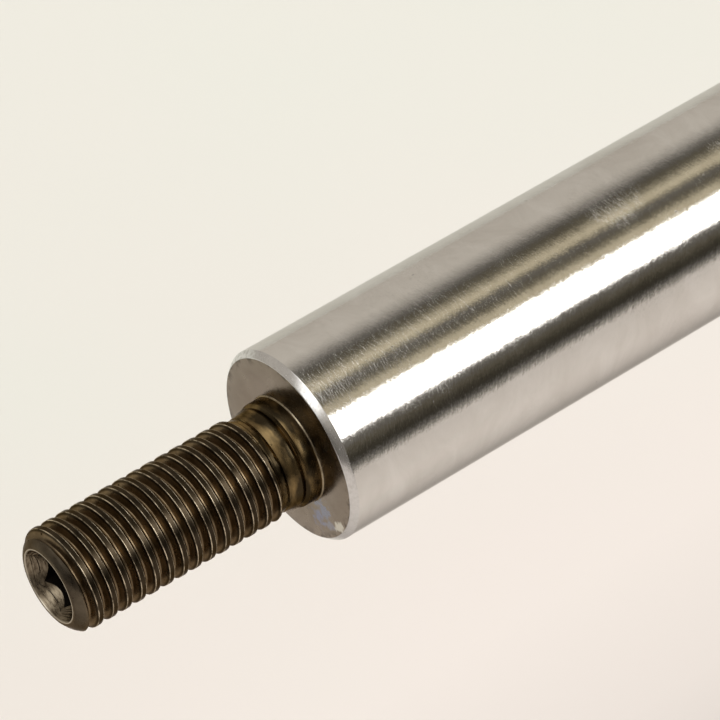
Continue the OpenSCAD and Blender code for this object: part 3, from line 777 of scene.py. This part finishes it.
@cache
def tube_steel():
    m = Surface("tube_steel")
    cloud = m.grain(500, 500, 4, 0.6)
    color = m.mix(m.span(cloud, 0.35, 0.65), (0.50, 0.49, 0.47), (0.62, 0.61, 0.59))
    return m.finish(color, m.span(cloud, 0.3, 0.7, 0.14, 0.26), normal=m.bump(cloud, 6e-6))


@cache
def nut_steel():
    return turned_metal("nut_steel", (0.40, 0.395, 0.38), (0.50, 0.49, 0.475), 0.20, 0.32, 4e-6, 0.25)


@cache
def black_oxide():
    return turned_metal("black_oxide", (0.028, 0.028, 0.030), (0.060, 0.058, 0.056), 0.30, 0.44, 6e-6)


@cache
def fastener_steel():
    return turned_metal("fastener_steel", (0.030, 0.029, 0.028), (0.075, 0.070, 0.064), 0.26, 0.38, 3e-6)


@cache
def brass():
    return turned_metal("machined_brass", (0.55, 0.39, 0.16), (0.70, 0.52, 0.25), 0.20, 0.32, 4e-6, 0.3)


@cache
def wiper_plastic():
    m = Surface("moulded_plastic")
    grain = m.grain(2200, 2200, 4, 0.6)
    cloud = m.grain(160, 160, 3, 0.5)
    color = m.mix(m.span(cloud, 0.3, 0.7), (0.66, 0.62, 0.52), (0.76, 0.73, 0.64))
    return m.finish(color, m.span(grain, 0.3, 0.7, 0.42, 0.56), 0.0, m.bump(grain, 1.2e-5),
                    Subsurface_Weight=0.05, Specular_IOR_Level=0.45)


@cache
def seal_rubber():
    m = Surface("nitrile_rubber")
    grain = m.grain(3000, 3000, 4, 0.6)
    dust = m.grain(400, 400, 4, 0.6)
    color = m.mix(m.span(dust, 0.5, 0.75), (0.018, 0.018, 0.019), (0.05, 0.048, 0.045))
    return m.finish(color, m.span(grain, 0.3, 0.7, 0.55, 0.72), 0.0, m.bump(grain, 1.5e-5))


SLOT_MATERIALS = {
    "chromed_rod": rod_chrome, "bronzed_steel": bronzed_thread, "nut_steel": nut_steel,
    "screw_steel": ground_screw, "bearing_steel": bearing_steel, "black_oxide": black_oxide,
    "fastener_steel": fastener_steel, "brass": brass, "wiper_plastic": wiper_plastic,
    "seal_rubber": seal_rubber,
}


def dress_frame():
    """Gives each CAD node that still shows the material of its slot."""
    slots = {row["node"]: row["material_slot"] for row in frame["record"]["subparts"]}
    for node, obj in frame["nodes"].items():
        material = SLOT_MATERIALS[slots[node]]()
        for place in obj.material_slots:
            place.material = material


# ---- Studio ----

FLOOR_DROP = 0.30
FLOOR_SIZE = 8.0

PALE = (1.0, 0.925, 0.82)
COOL = (1.0, 0.99, 0.96)
OLIVE = (1.0, 0.88, 0.63)
# The studio round the screw axis, as (degrees from +Y towards +Z, brightness, tint)
STUDIO = [
    (-180, 0.30, PALE), (-177, 0.50, PALE), (-171, 0.74, PALE), (-165, 0.85, PALE),
    (-15, 0.68, PALE), (37, 0.69, PALE), (43, 0.60, PALE), (49, 0.47, PALE), (55, 0.28, PALE),
    (60, 0.15, PALE), (67, 0.12, OLIVE), (72, 0.18, OLIVE), (79.5, 0.50, OLIVE), (83, 0.70, OLIVE),
    (86.5, 0.70, OLIVE), (90.5, 0.34, OLIVE), (94, 0.17, PALE), (102, 0.15, OLIVE), (106.5, 0.30, OLIVE),
    (110, 0.62, OLIVE), (115, 0.70, OLIVE), (118.5, 0.60, OLIVE), (121.2, 4.8, COOL), (144, 4.8, COOL),
    (147, 0.30, PALE), (153, 0.15, PALE), (158, 0.13, OLIVE), (164, 0.07, OLIVE), (171, 0.04, OLIVE),
    (176, 0.12, PALE), (180, 0.30, PALE),
]
# The same for directions well off the rod's own reflections: a soft light overhead in a dim room
SIDES = [
    (-180, 0.14, PALE), (-20, 0.14, PALE), (-6, 0.50, PALE), (20, 0.60, PALE), (56, 0.50, PALE),
    (66, 1.7, COOL), (78, 2.5, COOL), (98, 2.2, COOL), (110, 0.75, PALE), (128, 0.45, PALE),
    (150, 0.28, PALE), (180, 0.14, PALE),
]
BACKGROUND = (0.88, 0.83, 0.75)


def make_world():
    """Lights the scene with the studio rings; the camera itself sees one plain pale colour."""
    world = bpy.data.worlds.new("studio")
    bpy.context.scene.world = world
    world.use_nodes = True
    world.node_tree.nodes.clear()
    g = Graph(world.node_tree)

    def ring(levels):
        return g.ramp(turn, -180, 180, [(degrees, [level * c for c in tint])
                                        for degrees, level, tint in levels])

    place = g.add("ShaderNodeTexCoord")
    split = g.add("ShaderNodeSeparateXYZ")
    g.link(place.outputs["Generated"], split.inputs[0])
    x, y, z = split.outputs
    turn = g.math("DEGREES", g.math("ARCTAN2", z, y))
    window = g.times(g.span(x, 0.12, 0.22), g.span(x, 0.74, 0.62))
    light = g.add("ShaderNodeBackground")
    g.link(g.mix(window, ring(SIDES), ring(STUDIO)), light.inputs[0])
    g.link(g.span(x, -0.93, -0.80, 0.25, 1), light.inputs[1])
    seen = g.add("ShaderNodeBackground")
    seen.inputs[0].default_value = (*BACKGROUND, 1)
    path = g.add("ShaderNodeLightPath")
    choose = g.add("ShaderNodeMixShader")
    for value, socket in zip((path.outputs["Is Camera Ray"], light.outputs[0], seen.outputs[0]),
                             choose.inputs):
        g.link(value, socket)
    out = g.add("ShaderNodeOutputWorld")
    g.link(choose.outputs[0], out.inputs[0])


# Painted shade on the paper across the rod's direction, as (Y in metres, brightness): a painted soft
# shadow under the rod, and painted darkening far in front of and behind it. The mix in make_floor shows
# what is over 1 as 1
PAINTED_PAPER_SHADE = [(-1.5, 0.88), (-0.6, 0.95), (-0.3, 1.0), (-0.17, 0.95), (-0.08, 0.84), (-0.02, 0.70),
         (0.03, 0.60), (0.06, 0.62), (0.09, 0.74), (0.115, 0.88), (0.135, 0.97), (0.16, 1.0),
         (0.36, 1.0), (0.45, 1.05), (0.6, 1.08), (0.8, 1.04), (1.5, 0.92), (2.5, 0.86)]


def make_floor():
    z = -FLOOR_DROP
    s = FLOOR_SIZE / 2
    mesh = bpy.data.meshes.new("studio_floor")
    mesh.from_pydata([(-s, -s, z), (s, -s, z), (s, s, z), (-s, s, z)], [], [(0, 1, 2, 3)])
    floor = bpy.data.objects.new("studio_floor", mesh)
    bpy.context.scene.collection.objects.link(floor)
    m = Surface("floor_paper")
    _x, y, _z = m.axes()
    # Painted shade: the ramp darkens the paper along Y, as a painted shadow under the rod and painted
    # darkening far from it
    painted_shade = m.ramp(y, -s, s, [(at, [level] * 3) for at, level in PAINTED_PAPER_SHADE])
    cloud = m.grain(7, 7, 2)
    drift = m.plus(m.span(y, 0.15, 0.30), m.span(cloud, 0.3, 0.7, -0.25, 0.25))
    paper = m.mix(drift, (0.850, 0.795, 0.772), (0.793, 0.797, 0.755))
    mesh.materials.append(m.finish(m.mix(painted_shade, (0, 0, 0), paper), 0.9, 0.0))


# The camera's turn about Z and its tilt below the horizon, how far it is from the rod's face, and how
# far the face is to the right of and below the middle of its view
CAMERA_TURN = math.radians(38.17)
CAMERA_TILT = math.radians(46.67)
CAMERA_AWAY = 439.33 * MM
FACE_RIGHT = -7.449 * MM
FACE_DOWN = 9.084 * MM
LENS = 214.14


def make_camera():
    """Looks down at the rod's face from the stud's side, with the face left of and below the middle."""
    right = Vector((math.cos(CAMERA_TURN), -math.sin(CAMERA_TURN), 0))
    ahead = Vector((math.sin(CAMERA_TURN) * math.cos(CAMERA_TILT),
                    math.cos(CAMERA_TURN) * math.cos(CAMERA_TILT), -math.sin(CAMERA_TILT)))
    up = right.cross(ahead)
    face = Vector((face_x, 0, 0))
    data = bpy.data.cameras.new("camera")
    data.lens = LENS
    data.sensor_width = 36
    data.clip_start = 0.01
    data.clip_end = 200
    camera = bpy.data.objects.new("camera", data)
    bpy.context.scene.collection.objects.link(camera)
    camera.location = face - right * FACE_RIGHT + up * FACE_DOWN - ahead * CAMERA_AWAY
    turn = Matrix((right, up, -ahead)).transposed()
    camera.rotation_euler = turn.to_euler()
    bpy.context.scene.camera = camera


make_camera()
make_world()
make_floor()
make_rod()
make_stud()
make_screw()
make_tube()
dress_frame()
bpy.context.scene.view_settings.view_transform = "Standard"
